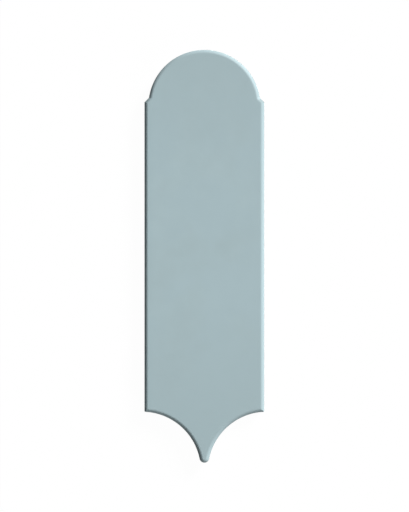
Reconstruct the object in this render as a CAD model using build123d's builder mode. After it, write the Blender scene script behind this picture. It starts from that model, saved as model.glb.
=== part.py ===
from build123d import *
from math import asin, degrees, floor, sqrt
import os

# A feather wall tile: one pressed and glazed ceramic piece with a round head and a forked tail.
#
# Tiles are laid in rows, each row half a tile to the side of the last. The head of a tile nests
# between the tails of the two tiles above it, and the tip of a tail ends in the notch between
# two heads, so the tail's arcs follow from the head, the joints and the pitch of the rows.
#
# Millimetres. The tile lies on its back: +Z comes out of the glazed face and +Y points to the
# head. The origin is on the back, at the middle of the tile's width and length.

# Outline
width = 65.0  # across the two long sides
shoulder_step = 2.1  # the head's circle stands this far inside the long sides
shoulder_rise = 2.0  # the long sides stop this far above the head's centre
row_pitch = 198.0  # from the centre of a head to the centres of the heads in the next row
side_joint = 2.7  # grout joint between two long sides
head_joint = 1.5  # grout joint round a head
tip_radius = 2.65  # blunt end of the tail
corner_radius = 0.5  # upright corners at the shoulders and the tail

# Section
thickness = 8.0  # over the ribs on the back
rim_radius = 2.1  # the glazed face rolls over into the sides
back_radius = 0.6  # eased arris between the sides and the back

# Keying grooves, pressed into the back to hold the adhesive
back_margin = 5.0  # flat land between the grooves and the outline
groove_width = 3.2
groove_depth = 0.8
groove_end_radius = 1.2
rib_width = 2.4  # between two grooves

# Places that follow from the sizes above
side_x = width / 2
head_radius = side_x - shoulder_step
tail_radius = head_radius + head_joint
tail_centre_x = side_x + side_joint / 2
tip_centre_rise = sqrt((tail_radius + tip_radius) ** 2 - tail_centre_x**2)
length = head_radius + row_pitch - (tip_centre_rise - tip_radius)
head_y = length / 2 - head_radius
tail_y = head_y - row_pitch
tip_y = tail_y + tip_centre_rise


def shoulder_run():
    """How far the 45 degree shoulder runs, along X and along Y, from the side to the head's arc."""
    half = (side_x - shoulder_rise) / 2
    gap = (side_x**2 + shoulder_rise**2 - head_radius**2) / 2
    return half - sqrt(half**2 - gap)


# Corners of the right flank, from the head down to the tip
run = shoulder_run()
shoulder_high = (side_x - run, head_y + shoulder_rise + run)
shoulder_low = (side_x, head_y + shoulder_rise)
shoulder_angle = degrees(asin((shoulder_rise + run) / head_radius))
tail_corner = (side_x, tail_y + sqrt(tail_radius**2 - (tail_centre_x - side_x) ** 2))
tip_share = tip_radius / (tail_radius + tip_radius)
tip_tangent = (tail_centre_x * tip_share, tip_y - tip_centre_rise * tip_share)
tip_low = (0, tip_y - tip_radius)

# The right half of the tile as seen from the front, and its mirror image
with BuildSketch() as outline:
    with BuildLine():
        CenterArc((0, head_y), head_radius, shoulder_angle, 90 - shoulder_angle)
        Line(shoulder_high, shoulder_low)
        Line(shoulder_low, tail_corner)
        RadiusArc(tail_corner, tip_tangent, -tail_radius)
        RadiusArc(tip_tangent, tip_low, tip_radius)
        mirror(about=Plane.YZ)
    make_face()
    corners = outline.vertices().filter_by(lambda corner: abs(corner.X) > tip_tangent[0] + tip_radius)
    fillet(corners, corner_radius)

# Grooves run the length of the back, in pairs about the rib on the middle line
groove_pitch = groove_width + rib_width
groove_pairs = floor((side_x - back_margin - rib_width / 2) / groove_pitch)
with BuildSketch() as groove_field:
    add(outline)
    offset(amount=-back_margin, mode=Mode.REPLACE)
with BuildSketch() as grooves:
    with GridLocations(groove_pitch, 1, 2 * groove_pairs, 1):
        Rectangle(groove_width, length)
    add(groove_field, mode=Mode.INTERSECT)
    fillet(grooves.vertices(), groove_end_radius)

with BuildPart() as feather_tile:
    add(outline)
    extrude(amount=thickness)
    glazed_face = feather_tile.faces().sort_by(Axis.Z)[-1]
    fillet(glazed_face.edges(), rim_radius)
    back = feather_tile.faces().sort_by(Axis.Z)[0]
    fillet(back.edges(), back_radius)
    add(grooves)
    extrude(amount=groove_depth, mode=Mode.SUBTRACT)

feather_tile.part.label = "feather_tile"
os.makedirs("parts", exist_ok=True)
export_step(feather_tile.part, "parts/feather_tile.step")
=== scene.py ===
import math

import bmesh
import bpy
import numpy as np
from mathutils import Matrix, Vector, geometry, noise


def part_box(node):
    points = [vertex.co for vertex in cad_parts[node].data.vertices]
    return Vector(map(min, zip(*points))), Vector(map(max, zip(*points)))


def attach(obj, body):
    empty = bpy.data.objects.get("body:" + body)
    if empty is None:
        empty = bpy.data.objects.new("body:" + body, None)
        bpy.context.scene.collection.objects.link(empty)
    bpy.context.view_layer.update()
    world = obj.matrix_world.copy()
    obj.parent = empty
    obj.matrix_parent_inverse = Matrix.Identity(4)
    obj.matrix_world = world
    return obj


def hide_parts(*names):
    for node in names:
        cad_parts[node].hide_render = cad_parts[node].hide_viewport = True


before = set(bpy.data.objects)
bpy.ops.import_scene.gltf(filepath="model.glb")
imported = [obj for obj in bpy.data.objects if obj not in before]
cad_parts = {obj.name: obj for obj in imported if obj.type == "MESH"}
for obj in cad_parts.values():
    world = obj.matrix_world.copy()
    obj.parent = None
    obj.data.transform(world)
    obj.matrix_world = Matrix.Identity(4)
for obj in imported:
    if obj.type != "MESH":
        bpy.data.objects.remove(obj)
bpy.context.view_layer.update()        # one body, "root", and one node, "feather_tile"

# A feather wall tile lying on its back: a cloudy blue grey glaze that rolls over the rim and ends in
# an uneven line on the sides, with the pale pressed body bare below it and on the ribbed back.
# Metres, in the frame of the solid: +Z out of the glazed face, +Y to the head.

MM = 0.001

# The outline, from the solid's box and the sizes that shape it
low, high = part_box("feather_tile")
side_x = high.x
thickness = high.z
shoulder_step = 2.1 * MM
shoulder_rise = 2.0 * MM
side_joint = 2.7 * MM
head_joint = 1.5 * MM
tip_radius = 2.65 * MM
corner_radius = 0.5 * MM
head_radius = side_x - shoulder_step
head_y = high.y - head_radius
tail_radius = head_radius + head_joint
tail_x = side_x + side_joint / 2
tip_y = low.y + tip_radius
tail_y = tip_y - math.sqrt((tail_radius + tip_radius) ** 2 - tail_x**2)

# The section
rim_radius = 2.1 * MM
rim_rise = 2.0 * MM  # height over which the glazed face rolls over
rim_power = 1.85  # fullness of that roll, where 2 is a circle, and glaze drawn thin over an edge is flatter
glaze_end = 2.3 * MM  # the glaze stops about this high on the sides
glaze_wander = 0.55 * MM  # how far that line wanders up and down
glaze_thickness = 0.16 * MM  # the bare body stands this far inside the glaze
foot_radius = 0.45 * MM  # eased edge between the sides and the back
glaze_lip = 0.3 * MM  # height of the rounded lower edge of the glaze
glaze_ease = 0.9 * MM  # how far the glaze rounds the creases that run up the rim from the convex corners
ease_reach = 2.6 * MM  # as far as that shows along the outline
glaze_dips = 0.05 * MM  # shallow waves in the fired glaze, cut down from the solid's face

# The back's keying grooves
back_margin = 5.0 * MM
groove_width = 3.2 * MM
rib_width = 2.4 * MM
groove_depth = 0.8 * MM
groove_end_radius = 1.2 * MM
groove_draft = 0.22 * MM  # a groove's floor is this much narrower on each side
groove_ease = 0.12 * MM  # rounding where a wall meets the floor or a rib
land = 0.15 * MM  # narrow flat strips beside rounded edges, which keep the shading of the flats even

# How finely the mesh follows those forms
step = 0.5 * MM  # along the outline
fewest_steps = 6  # along the shortest arc
face_step = 1.5 * MM  # between points on the glazed face
rim_rings = 12
foot_rings = 4
corner_steps = 6  # round a groove's corner
same_place = 1e-3 * MM  # points closer than this are one point
tolerance = 1e-4 * MM

GLAZE, BODY = 0, 1  # material slots of the tile


def smooth(value):
    """A smooth step from 0 to 1."""
    value = min(max(value, 0.0), 1.0)
    return value * value * (3 - 2 * value)


def arc(centre, radius, start, end, facing=1):
    """Samples along an arc, its end left out: a place and the direction out of the tile."""
    count = max(fewest_steps, math.ceil(abs(end - start) * radius / step))
    angles = [start + (end - start) * i / count for i in range(count)]
    rays = [Vector((math.cos(a), math.sin(a))) for a in angles]
    return [(Vector(centre) + ray * radius, ray * facing) for ray in rays]


def line(start, end):
    """Samples along a straight run, its end left out."""
    run = end - start
    out = Vector((-run.y, run.x)).normalized()
    count = max(1, math.ceil(run.length / step))
    return [(start + run * (i / count), out) for i in range(count)]


def corner(place, coming, going):
    """Samples round an eased corner, and how much of the runs on both sides it takes."""
    turn = coming.angle_signed(going)  # positive is a turn to the right, round a convex corner
    trim = corner_radius * math.tan(abs(turn) / 2)
    facing = 1 if turn > 0 else -1
    out = Vector((-coming.y, coming.x))
    centre = place - coming * trim - out * corner_radius * facing
    start = math.atan2(out.y * facing, out.x * facing)
    return arc(centre, corner_radius, start, start - turn, facing), trim


def right_flank():
    """The outline from the top of the head, down the right side, to the tip."""
    half = (side_x - shoulder_rise) / 2
    run = half - math.sqrt(half**2 - (side_x**2 + shoulder_rise**2 - head_radius**2) / 2)
    head_end = math.asin((shoulder_rise + run) / head_radius)
    tail_start = math.pi / 2 + math.asin((tail_x - side_x) / tail_radius)
    tail_end = math.pi - math.atan2(tip_y - tail_y, tail_x)
    high_corner = Vector((side_x - run, head_y + shoulder_rise + run))
    low_corner = Vector((side_x, head_y + shoulder_rise))
    tail_corner = Vector((side_x, tail_y + tail_radius * math.sin(tail_start)))
    down = Vector((0, -1))
    slope = (low_corner - high_corner).normalized()
    off_head = Vector((math.sin(head_end), -math.cos(head_end)))
    on_tail = Vector((-math.sin(tail_start), math.cos(tail_start)))
    notch, notch_trim = corner(high_corner, off_head, slope)
    shoulder, shoulder_trim = corner(low_corner, slope, down)
    heel, heel_trim = corner(tail_corner, down, on_tail)
    return [
        *arc((0, head_y), head_radius, math.pi / 2, head_end + notch_trim / head_radius),
        *notch,
        *line(high_corner + slope * notch_trim, low_corner - slope * shoulder_trim),
        *shoulder,
        *line(low_corner + down * shoulder_trim, tail_corner - down * heel_trim),
        *heel,
        *arc((tail_x, tail_y), tail_radius, tail_start + heel_trim / tail_radius, tail_end, -1),
        *arc((0, tip_y), tip_radius, tail_end - math.pi, -math.pi / 2),
    ]


def whole_outline():
    """The closed outline, clockwise from the top of the head, as places and outward directions."""
    flank = right_flank()
    tip = (Vector((0, low.y)), Vector((0, -1)))
    mirrored = [(Vector((-p.x, p.y)), Vector((-out.x, out.y))) for p, out in flank[1:]]
    both = [*flank, tip, *reversed(mirrored)]
    return np.array([p for p, _ in both]), np.array([out for _, out in both])


def crossing(a, along_a, b, along_b):
    """Where the line through a meets the line through b."""
    found = geometry.intersect_line_line_2d(a - along_a, a + along_a, b - along_b, b + along_b)
    return found or (a + b) / 2


def inset(places, outs, depth):
    """The outline moved inward by depth. Samples that would cross at a corner share the mitre point."""
    moved = places - outs * depth
    gaps = np.linalg.norm(moved[:, None] - places[None], axis=2).min(axis=1)
    crossed = gaps < depth - tolerance
    result = [Vector(p) for p in moved]
    count = len(result)
    for first in np.flatnonzero(crossed & ~np.roll(crossed, 1)):
        last = first
        while crossed[(last + 1) % count]:
            last += 1
        before, after = (first - 1) % count, (last + 1) % count
        along_before = Vector((-outs[before][1], outs[before][0])) * 10 * MM
        along_after = Vector((-outs[after][1], outs[after][0])) * 10 * MM
        mitre = crossing(Vector(moved[before]), along_before, Vector(moved[after]), along_after)
        for i in range(first, last + 1):
            result[i % count] = mitre
    return result


def easing(places, outs):
    """The spacing of the samples, and how far each is eased: fully at a convex corner, else not at all."""
    spacing = np.linalg.norm(np.roll(places, -1, axis=0) - places, axis=1)
    following = np.roll(outs, -1, axis=0)
    turning = outs[:, 1] * following[:, 0] - outs[:, 0] * following[:, 1]
    sharp = places[turning > spacing / (2 * corner_radius)]
    gaps = np.linalg.norm(places[:, None] - sharp[None], axis=2).min(axis=1)
    return spacing, np.array([glaze_ease * smooth(1 - gap / ease_reach) for gap in gaps])


def soften(ring, spacing, spread):
    """Averages each place of a ring with its neighbours, as far round as its spread says."""
    least = 0.1 * MM  # a smaller spread leaves the place alone
    along = np.cumsum(spacing)
    gaps = along[:, None] - along[None]
    widths = np.maximum(spread, same_place)[:, None]
    weights = spacing[None] * np.exp(-0.5 * (gaps / widths) ** 2)
    moved = weights @ np.array(ring) / weights.sum(axis=1)[:, None]
    return [Vector(new if width > least else old) for old, new, width in zip(ring, moved, spread)]


class Shell:
    """A mesh that grows ring by ring."""

    def __init__(self):
        self.points = []
        self.faces = []
        self.slots = []

    def add_ring(self, flat, heights):
        """Adds one closed ring and returns its indices. Neighbours at one place share a point."""
        ring = []
        for p, z in zip(flat, heights):
            point = Vector((p.x, p.y, z))
            if not ring or (self.points[ring[-1]] - point).length > same_place:
                self.points.append(point)
            ring.append(len(self.points) - 1)
        return ring

    def add_face(self, corners, slot):
        """Adds a face, without the corners that repeat."""
        kept = [c for i, c in enumerate(corners) if c != corners[i - 1]]
        if len(set(kept)) > 2:
            self.faces.append(kept)
            self.slots.append(slot)

    def add_band(self, upper, lower, slot):
        """Joins two rings that have as many samples."""
        for i in range(len(upper)):
            self.add_face([upper[i - 1], upper[i], lower[i], lower[i - 1]], slot)

    def add_cap(self, ring, holes, inner, height, slot):
        """Fills a ring with triangles, round the holes and through the inner points."""
        loops = [list(dict.fromkeys(loop)) for loop in (ring, *holes)]
        first_inner = len(self.points)
        self.points += [Vector((x, y, height)) for x, y in inner]
        used = [i for loop in loops for i in loop]
        used += range(first_inner, len(self.points))
        place_of = {index: n for n, index in enumerate(used)}
        edges = [(place_of[loop[i - 1]], place_of[loop[i]]) for loop in loops for i in range(len(loop))]
        flat = [self.points[i].to_2d() for i in used]
        made = geometry.delaunay_2d_cdt(flat, edges, [], 1, tolerance, True)
        triangles, origins = made[2], made[3]
        found = [[used[origins[i][0]] for i in triangle] for triangle in triangles]
        sums = [sum((self.points[i] for i in corners), Vector()) for corners in found]
        middles = np.array([total.to_2d() / 3 for total in sums])
        outer, *mouths = [np.array([self.points[i].to_2d() for i in loop]) for loop in loops]
        kept = inside(middles, outer)
        for mouth in mouths:
            kept &= ~inside(middles, mouth)
        for corners, keep in zip(found, kept):
            if keep:
                self.add_face(corners, slot)


def inside(places, loop):
    """Which of the places lie within a closed loop."""
    found = np.zeros(len(places), bool)
    x, y = places.T
    for (ax, ay), (bx, by) in zip(loop, np.roll(loop, -1, axis=0)):
        if ay != by:
            found ^= ((ay > y) != (by > y)) & (x < ax + (bx - ax) * (y - ay) / (by - ay))
    return found


def wander(x, y, size):
    """A smooth random wave with bumps of about the given size, from about -1 to 1."""
    level = 7.3  # which slice through the noise
    return noise.noise(Vector((x / size, y / size, level)))


def glaze_line(x, y):
    """How high the glaze ends on the side at this place."""
    slow = 0.8 * wander(x, y, 17 * MM)
    quick = 0.35 * wander(x, y, 4.2 * MM)
    return glaze_end + glaze_wander * (slow + quick)


def add_sides(shell, places, outs):
    """The rolled rim, the glazed side, the glaze's lower edge and the bare side. Returns the end rings."""
    glazed_steps = (0.3, 0.6, 0.85, 1.0)  # down the glazed side
    lip_steps = ((0.55, 0.08), (0.85, 0.32), (1.0, 0.7), (1.05, 1.0))  # down and in, round the glaze's edge
    bare_steps = (0.35, 0.7, 1.0)  # down the bare side
    ends = [glaze_line(x, y) for x, y in places]
    shoulder = thickness - rim_rise
    bend = 2 / rim_power
    spacing, spread = easing(places, outs)
    inner = soften(inset(places, outs, rim_radius + land), spacing, spread)
    top = last = shell.add_ring(inner, [thickness] * len(places))
    for i in range(rim_rings + 1):
        angle = math.pi / 2 * i / rim_rings
        depth = rim_radius * (1 - math.sin(angle) ** bend)
        height = shoulder + rim_rise * math.cos(angle) ** bend
        flat = soften(inset(places, outs, depth), spacing, spread * depth / rim_radius)
        ring = shell.add_ring(flat, [height] * len(places))
        shell.add_band(last, ring, GLAZE)
        last = ring
    for share in glazed_steps:
        heights = [shoulder + (end + glaze_lip - shoulder) * share for end in ends]
        ring = shell.add_ring(inset(places, outs, 0), heights)
        shell.add_band(last, ring, GLAZE)
        last = ring
    for drop, share in lip_steps:
        heights = [end + glaze_lip * (1 - drop) for end in ends]
        ring = shell.add_ring(inset(places, outs, glaze_thickness * share), heights)
        shell.add_band(last, ring, GLAZE)
        last = ring
    for share in bare_steps:
        heights = [end + (foot_radius - end) * share for end in ends]
        ring = shell.add_ring(inset(places, outs, glaze_thickness), heights)
        shell.add_band(last, ring, BODY)
        last = ring
    for i in range(1, foot_rings + 1):
        angle = math.pi / 2 * i / foot_rings
        depth = glaze_thickness + foot_radius * (1 - math.cos(angle))
        heights = [foot_radius * (1 - math.sin(angle))] * len(places)
        ring = shell.add_ring(inset(places, outs, depth), heights)
        shell.add_band(last, ring, BODY)
        last = ring
    flat = inset(places, outs, glaze_thickness + foot_radius + land)
    bottom = shell.add_ring(flat, [0] * len(places))
    shell.add_band(last, bottom, BODY)
    return top, bottom


def lattice(loop, spacing, clearance):
    """Places of a triangular lattice inside a loop, clear of its edge."""
    edge = np.array(loop)
    rise = spacing * math.sqrt(3) / 2
    rows = math.ceil((high.y - low.y) / rise)
    columns = math.ceil(2 * side_x / spacing)
    column, row = np.meshgrid(np.arange(columns), np.arange(rows))
    x = -side_x + spacing * (column + 0.25 + 0.5 * (row % 2))
    y = low.y + rise * (row + 0.5)
    places = np.column_stack([x.ravel(), y.ravel()])
    places = places[inside(places, edge)]
    gaps = np.linalg.norm(places[:, None] - edge[None], axis=2).min(axis=1)
    return places[gaps > clearance]


def groove_loop(middle):
    """The outline of one keying groove, clockwise, its ends cut off by the inset head and tail."""
    left, right = middle - groove_width / 2, middle + groove_width / 2
    head = head_radius - back_margin
    tail = tail_radius + back_margin
    ends = [Vector((x, head_y + math.sqrt(head**2 - x**2))) for x in (left, right)]
    ends += [Vector((x, tail_y + math.sqrt(tail**2 - (tail_x - abs(x)) ** 2))) for x in (right, left)]
    loop = []
    for i, end in enumerate(ends):
        before = (ends[i - 1] - end).normalized()
        after = (ends[(i + 1) % len(ends)] - end).normalized()
        loop += eased(end, before, after)
    return loop


def eased(place, before, after):
    """A rounded corner of a groove, as a few places."""
    half = before.angle(after) / 2
    reach = groove_end_radius / math.tan(half)
    start, end = place + before * reach, place + after * reach
    centre = place + (before + after).normalized() * (groove_end_radius / math.sin(half))
    a, b = start - centre, end - centre
    turn = a.angle_signed(b)
    return [centre + turned(a, -turn * i / corner_steps) for i in range(corner_steps + 1)]


def turned(vector, angle):
    """A flat vector turned anticlockwise."""
    c, s = math.cos(angle), math.sin(angle)
    return Vector((c * vector.x - s * vector.y, s * vector.x + c * vector.y))


def shrunk(loop, depth):
    """A clockwise loop moved inward by depth."""
    moved = []
    for i, place in enumerate(loop):
        along = (loop[(i + 1) % len(loop)] - loop[i - 1]).normalized()
        moved.append(place + Vector((along.y, -along.x)) * depth)
    return moved


def add_grooves(shell):
    """The keying grooves, each a ring of walls and a floor. Returns their mouths."""
    pitch = groove_width + rib_width
    part_in, part_up = groove_ease * 0.4, groove_ease * 0.3  # a place part way round an eased edge
    pairs = math.floor((side_x - back_margin - rib_width / 2) / pitch)
    mouths = []
    for i in range(-pairs, pairs):
        mouth = groove_loop((i + 0.5) * pitch)
        wall = [
            (-land, 0),
            (0, 0),
            (part_in, part_up),
            (groove_ease, groove_ease),
            (groove_draft, groove_depth - groove_ease),
            (groove_draft + part_in, groove_depth - part_up),
            (groove_draft + groove_ease, groove_depth),
            (groove_draft + groove_ease + land, groove_depth),
        ]
        last = None
        for depth, height in wall:
            ring = shell.add_ring(shrunk(mouth, depth), [height] * len(mouth))
            if last:
                shell.add_band(last, ring, BODY)
            else:
                mouths.append(ring)
            last = ring
        shell.add_cap(last, [], [], groove_depth, BODY)
    return mouths


def wave(shell):
    """Lowers the glazed face and rim by the shallow waves of the fired glaze."""
    broad_size, small_size = 31 * MM, 11 * MM
    broad_share, small_share = 0.75, 0.25
    apart = 1.0  # the small waves are read this far from the broad ones
    for point in shell.points:
        weight = smooth((point.z - thickness + rim_radius) / rim_radius)
        if weight:
            broad = 0.5 + 0.5 * wander(point.x, point.y, broad_size)
            small = 0.5 + 0.5 * wander(point.x + apart, point.y, small_size)
            point.z -= glaze_dips * weight * (broad_share * broad + small_share * small)


def make_tile():
    """The whole tile as one closed mesh."""
    places, outs = whole_outline()
    shell = Shell()
    top, bottom = add_sides(shell, places, outs)
    rim_loop = [shell.points[i].to_2d() for i in dict.fromkeys(top)]
    shell.add_cap(top, [], lattice(rim_loop, face_step, 0.6 * face_step), thickness, GLAZE)
    mouths = add_grooves(shell)
    shell.add_cap(bottom, mouths, [], 0, BODY)
    wave(shell)
    mesh = bpy.data.meshes.new("tile")
    mesh.from_pydata(shell.points, [], shell.faces)
    mesh.polygons.foreach_set("material_index", shell.slots)
    mesh.polygons.foreach_set("use_smooth", [True] * len(mesh.polygons))
    mesh.validate()
    tile = bpy.data.objects.new("tile", mesh)
    bpy.context.scene.collection.objects.link(tile)
    return tile


def face_outward(tile):
    """Turns every face of the closed mesh outward."""
    form = bmesh.new()
    form.from_mesh(tile.data)
    bmesh.ops.remove_doubles(form, verts=form.verts, dist=same_place)
    bmesh.ops.recalc_face_normals(form, faces=form.faces)
    form.to_mesh(tile.data)
    form.free()


tile = make_tile()
face_outward(tile)
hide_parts("feather_tile")
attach(tile, "root")


class Paint:
    """A material and short ways to add nodes to it."""

    def __init__(self, name):
        self.material = bpy.data.materials.new(name)
        self.material.use_nodes = True
        self.tree = self.material.node_tree
        self.shader = self.tree.nodes["Principled BSDF"]
        self.place = self.tree.nodes.new("ShaderNodeTexCoord").outputs["Object"]

    def link(self, source, socket):
        self.tree.links.new(source, socket)

    def noise(self, size, detail=2.0, roughness=0.5):
        """Noise with blotches of about the given size."""
        made = self.tree.nodes.new("ShaderNodeTexNoise")
        made.inputs["Scale"].default_value = 1 / size
        made.inputs["Detail"].default_value = detail
        made.inputs["Roughness"].default_value = roughness
        self.link(self.place, made.inputs["Vector"])
        return made.outputs["Fac"]

    def remap(self, value, start, end, to_start, to_end, even=False):
        """Carries the range from start to end over to another range, with soft ends unless it is even."""
        made = self.tree.nodes.new("ShaderNodeMapRange")
        made.interpolation_type = "LINEAR" if even else "SMOOTHSTEP"
        self.link(value, made.inputs["Value"])
        names = ("From Min", "From Max", "To Min", "To Max")
        for name, number in zip(names, (start, end, to_start, to_end)):
            made.inputs[name].default_value = number
        return made.outputs["Result"]

    def work_out(self, kind, a, b):
        """Arithmetic on two values. Each is a number or a socket."""
        made = self.tree.nodes.new("ShaderNodeMath")
        made.operation = kind
        for socket, value in zip(made.inputs, (a, b)):
            if isinstance(value, (int, float)):
                socket.default_value = value
            else:
                self.link(value, socket)
        return made.outputs["Value"]

    def mix(self, share, a, b):
        """A colour between a and b. Each is a colour or a socket."""
        made = self.tree.nodes.new("ShaderNodeMix")
        made.data_type = "RGBA"
        self.link(share, made.inputs["Factor"])
        for socket, value in zip(made.inputs[6:8], (a, b)):
            if isinstance(value, tuple):
                socket.default_value = (*value, 1)
            else:
                self.link(value, socket)
        return made.outputs[2]

    def part(self, axis):
        """One coordinate of the place on the tile."""
        made = self.tree.nodes.new("ShaderNodeSeparateXYZ")
        self.link(self.place, made.inputs["Vector"])
        return made.outputs[axis]

    def bump(self, height, distance, under=None):
        """Fine relief of the given height, on top of the relief under it."""
        made = self.tree.nodes.new("ShaderNodeBump")
        made.inputs["Distance"].default_value = distance
        made.inputs["Strength"].default_value = 1.0
        self.link(height, made.inputs["Height"])
        if under:
            self.link(under, made.inputs["Normal"])
        return made.outputs["Normal"]


def scaled(colour, share):
    """A colour times a number, or times one number for each of red, green and blue."""
    shares = share if isinstance(share, tuple) else (share,) * 3
    return tuple(c * s for c, s in zip(colour, shares))


def glaze_material():
    """Satin blue grey glaze with faint clouds, a little darker towards the head and the tail, with painted
    shade in the notches at the shoulders.
    """
    base = (0.368, 0.472, 0.4955)
    thin, thick = scaled(base, 0.972), scaled(base, 1.024)  # the tones of the clouds
    bluer = scaled(base, (0.985, 1.0, 1.02))
    dim = scaled(base, 0.925)  # towards the ends
    brightest_y = 12 * MM  # the tone falls off on both sides of this line
    dim_start, dim_end = 38 * MM, 112 * MM  # as far from it
    dim_share = 0.8
    notch_shade = scaled(base, 0.72)  # painted shade: the glaze colour darkens in the notches at the shoulders, where shade falls
    notch_shade_start, notch_shade_end = 0.6 * MM, 2.4 * MM  # as far from a notch
    gloss_level = 0.244
    roughness = (0.54, 0.60)
    paint = Paint("glaze")
    clouds = paint.noise(34 * MM)
    blotches = paint.noise(9 * MM, 3.0, 0.55)
    half_clouds = paint.work_out("MULTIPLY", clouds, 0.5)
    half_blotches = paint.work_out("MULTIPLY", blotches, 0.5)
    tone = paint.work_out("ADD", half_clouds, half_blotches)
    colour = paint.mix(paint.remap(tone, 0.3, 0.7, 0, 1), thin, thick)
    hue = paint.noise(24 * MM)
    colour = paint.mix(paint.remap(hue, 0.35, 0.65, 0, 0.5), colour, bluer)
    from_middle = paint.work_out("SUBTRACT", paint.part("Y"), brightest_y)
    from_middle = paint.work_out("ABSOLUTE", from_middle, 0)
    ends = paint.remap(from_middle, dim_start, dim_end, 0.0, dim_share, even=True)
    colour = paint.mix(ends, colour, dim)
    aside = paint.work_out("ABSOLUTE", paint.part("X"), 0)
    aside = paint.work_out("SUBTRACT", aside, side_x - shoulder_step / 2)
    along = paint.work_out("SUBTRACT", paint.part("Y"), head_y + shoulder_rise + shoulder_step / 2)
    aside = paint.work_out("MULTIPLY", aside, aside)
    along = paint.work_out("MULTIPLY", along, along)
    from_notch = paint.work_out("POWER", paint.work_out("ADD", aside, along), 0.5)
    # painted shade near the shoulder notches, mixed into the glaze colour
    colour = paint.mix(paint.remap(from_notch, notch_shade_start, notch_shade_end, 1, 0), colour, notch_shade)
    paint.link(colour, paint.shader.inputs["Base Color"])
    gloss = paint.noise(22 * MM, 3.0, 0.6)
    paint.link(paint.remap(gloss, 0.25, 0.75, *roughness), paint.shader.inputs["Roughness"])
    paint.shader.inputs["Specular IOR Level"].default_value = gloss_level
    ripple = paint.noise(3.5 * MM)
    grain = paint.noise(0.8 * MM)
    normal = paint.bump(ripple, 0.02 * MM)
    normal = paint.bump(grain, 0.004 * MM, under=normal)
    paint.link(normal, paint.shader.inputs["Normal"])
    return paint.material


def body_material():
    """Bare pressed body: pale, dry and slightly sandy."""
    darker, paler, speck = (0.52, 0.475, 0.41), (0.60, 0.56, 0.495), (0.33, 0.285, 0.235)
    paint = Paint("body")
    clouds = paint.noise(18 * MM, 3.0, 0.6)
    grain = paint.noise(0.5 * MM, 3.0, 0.6)
    colour = paint.mix(paint.remap(clouds, 0.3, 0.7, 0, 1), darker, paler)
    specks = paint.remap(grain, 0.62, 0.72, 0, 0.5)
    colour = paint.mix(specks, colour, speck)
    paint.link(colour, paint.shader.inputs["Base Color"])
    paint.shader.inputs["Roughness"].default_value = 0.9
    paint.link(paint.bump(grain, 0.05 * MM), paint.shader.inputs["Normal"])
    return paint.material


tile.data.materials.append(glaze_material())
tile.data.materials.append(body_material())


def seen_white(tree):
    """1 for rays that come from the camera or a reflection, and 0 for rays that carry light."""
    path = tree.nodes.new("ShaderNodeLightPath")
    total = path.outputs["Is Camera Ray"]
    for name in ("Is Glossy Ray", "Is Transmission Ray"):
        more = tree.nodes.new("ShaderNodeMath")
        more.operation = "MAXIMUM"
        tree.links.new(total, more.inputs[0])
        tree.links.new(path.outputs[name], more.inputs[1])
        total = more.outputs["Value"]
    return total


def make_floor():
    """A wide white floor just under the tile, which keeps a faint shadow."""
    reach = 30.0
    gap = 0.05 * MM
    bounce = 0.31  # how much of the light the floor throws back up
    own_white = 0.98  # how much of its white needs no lamp, and the rest takes the shadow
    signs = ((-1, -1), (1, -1), (1, 1), (-1, 1))
    mesh = bpy.data.meshes.new("floor")
    mesh.from_pydata([(x * reach, y * reach, -gap) for x, y in signs], [], [(0, 1, 2, 3)])
    floor = bpy.data.objects.new("floor", mesh)
    bpy.context.scene.collection.objects.link(floor)
    material = bpy.data.materials.new("floor")
    material.use_nodes = True
    tree = material.node_tree
    tree.nodes.clear()
    white = tree.nodes.new("ShaderNodeEmission")
    white.inputs["Color"].default_value = (1, 1, 1, 1)
    shaded = tree.nodes.new("ShaderNodeBsdfDiffuse")
    seen = seen_white(tree)
    shade = tree.nodes.new("ShaderNodeMapRange")
    shade.inputs["To Min"].default_value = bounce
    shade.inputs["To Max"].default_value = 1.0
    tree.links.new(seen, shade.inputs["Value"])
    tree.links.new(shade.outputs["Result"], shaded.inputs["Color"])
    share = tree.nodes.new("ShaderNodeMath")
    share.operation = "MULTIPLY"
    share.inputs[1].default_value = own_white
    tree.links.new(seen, share.inputs[0])
    mixed = tree.nodes.new("ShaderNodeMixShader")
    tree.links.new(share.outputs["Value"], mixed.inputs["Fac"])
    tree.links.new(shaded.outputs["BSDF"], mixed.inputs[1])
    tree.links.new(white.outputs["Emission"], mixed.inputs[2])
    out = tree.nodes.new("ShaderNodeOutputMaterial")
    tree.links.new(mixed.outputs["Shader"], out.inputs["Surface"])
    mesh.materials.append(material)


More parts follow.
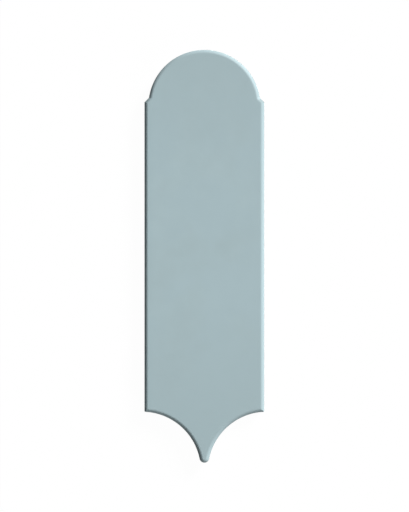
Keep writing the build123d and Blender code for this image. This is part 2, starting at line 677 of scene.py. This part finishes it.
def make_world():
    """White where it is seen or mirrored, and a dim cool fill as a light."""
    world = bpy.data.worlds.new("studio")
    bpy.context.scene.world = world
    world.use_nodes = True
    tree = world.node_tree
    tree.nodes.clear()
    fill, white = ((0.92, 0.97, 1.0), 0.084), ((1, 1, 1), 1.0)  # colour and strength
    backgrounds = []
    for colour, strength in (fill, white):
        made = tree.nodes.new("ShaderNodeBackground")
        made.inputs["Color"].default_value = (*colour, 1)
        made.inputs["Strength"].default_value = strength
        backgrounds.append(made)
    mixed = tree.nodes.new("ShaderNodeMixShader")
    tree.links.new(seen_white(tree), mixed.inputs["Fac"])
    tree.links.new(backgrounds[0].outputs["Background"], mixed.inputs[1])
    tree.links.new(backgrounds[1].outputs["Background"], mixed.inputs[2])
    out = tree.nodes.new("ShaderNodeOutputWorld")
    tree.links.new(mixed.outputs["Shader"], out.inputs["Surface"])


def make_lamp(name, azimuth, elevation, face_share, size):
    """A distant lamp, angles in degrees. Its share is how much of a full light it puts on the glazed face."""
    azimuth, elevation = math.radians(azimuth), math.radians(elevation)
    level = math.cos(elevation)
    towards = Vector((level * math.cos(azimuth), level * math.sin(azimuth), math.sin(elevation)))
    data = bpy.data.lights.new(name, "SUN")
    data.energy = math.pi * face_share / math.sin(elevation)
    data.angle = math.radians(size)
    lamp = bpy.data.objects.new(name, data)
    lamp.rotation_mode = "QUATERNION"
    lamp.rotation_quaternion = towards.to_track_quat("Z", "Y")
    lamp.location = towards
    bpy.context.scene.collection.objects.link(lamp)


def make_lamps():
    """A low key light from the upper right, so that the rim models light and dark, and a faint side light."""
    make_lamp("key", azimuth=46.6, elevation=26.7, face_share=0.782, size=20)
    make_lamp("side", azimuth=305, elevation=24.5, face_share=0.128, size=14)


def make_camera():
    """Straight above the tile with its head up, framed as in the photograph of 409 by 512 pixels."""
    frame_height = 512
    tile_width = 119.7  # pixels across the long sides
    tile_middle = (204.35, 256.27)
    picture_middle = (204.5, 256.0)
    per_pixel = 2 * side_x / tile_width
    data = bpy.data.cameras.new("camera")
    data.lens = 100
    data.sensor_width = 36
    camera = bpy.data.objects.new("camera", data)
    outline_height = thickness - rim_radius
    distance = frame_height * per_pixel * data.lens / data.sensor_width
    camera.location = (
        (picture_middle[0] - tile_middle[0]) * per_pixel,
        (tile_middle[1] - picture_middle[1]) * per_pixel,
        outline_height + distance,
    )
    data.clip_start, data.clip_end = 0.01, 100
    bpy.context.scene.collection.objects.link(camera)
    bpy.context.scene.camera = camera


make_floor()
make_world()
make_lamps()
make_camera()
bpy.context.scene.view_settings.view_transform = "Standard"
